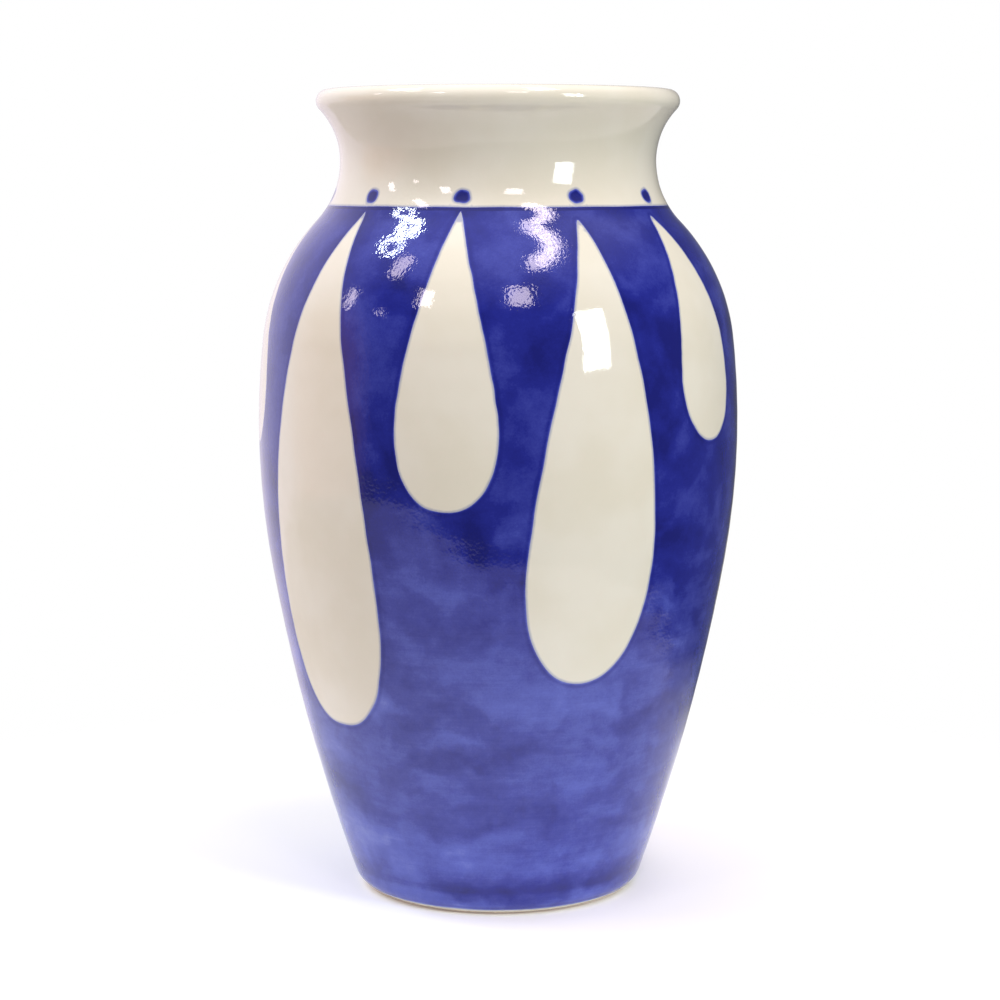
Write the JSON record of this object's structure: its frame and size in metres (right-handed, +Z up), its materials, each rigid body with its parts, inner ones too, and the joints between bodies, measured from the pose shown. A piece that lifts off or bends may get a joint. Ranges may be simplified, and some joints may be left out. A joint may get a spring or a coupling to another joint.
{
  "type": "talavera pottery vase",
  "caption": "Round-bellied talavera pottery vase with a narrow neck, rolled lip and glossy ivory glaze, brushed with a cobalt wash around reserved ivory teardrops and dots; holds flowers.",
  "frame": {"origin": "middle of the foot, on the table", "axes": "+Z up along the vase's axis; -Y is the side shown to the front, angles grow from -Y towards +X"},
  "size_m": [0.18, 0.18, 0.3],
  "materials": {
    "fired_clay": "bare fired earthenware with fine turning marks",
    "lining_glaze": "glossy ivory tin glaze over throwing rings",
    "ivory_glaze": "glossy ivory tin glaze with a soft ripple",
    "teardrop_ivory": "glossy ivory tin glaze left free of paint, edges tinted by the wash around it",
    "cobalt_wash": "glossy brushed cobalt fired into the glaze, blotchy and streaked",
    "dark_cobalt": "glossy dense cobalt brushwork with soft edges"
  },
  "bodies": {
    "root": {"clay_body": "fired_clay", "inner_glaze": "lining_glaze", "outer_glaze": "ivory_glaze", "cobalt_wash": "cobalt_wash", "shoulder_line": "dark_cobalt", "teardrop_1": "teardrop_ivory", "teardrop_2": "teardrop_ivory", "teardrop_3": "teardrop_ivory", "teardrop_4": "teardrop_ivory", "teardrop_5": "teardrop_ivory", "teardrop_6": "teardrop_ivory", "teardrop_7": "teardrop_ivory", "teardrop_8": "teardrop_ivory", "teardrop_9": "teardrop_ivory", "teardrop_10": "teardrop_ivory", "dot_1": "dark_cobalt", "dot_2": "dark_cobalt", "dot_3": "dark_cobalt", "dot_4": "dark_cobalt", "dot_5": "dark_cobalt", "dot_6": "dark_cobalt", "dot_7": "dark_cobalt", "dot_8": "dark_cobalt", "dot_9": "dark_cobalt", "dot_10": "dark_cobalt"}
  },
  "joints": []
}
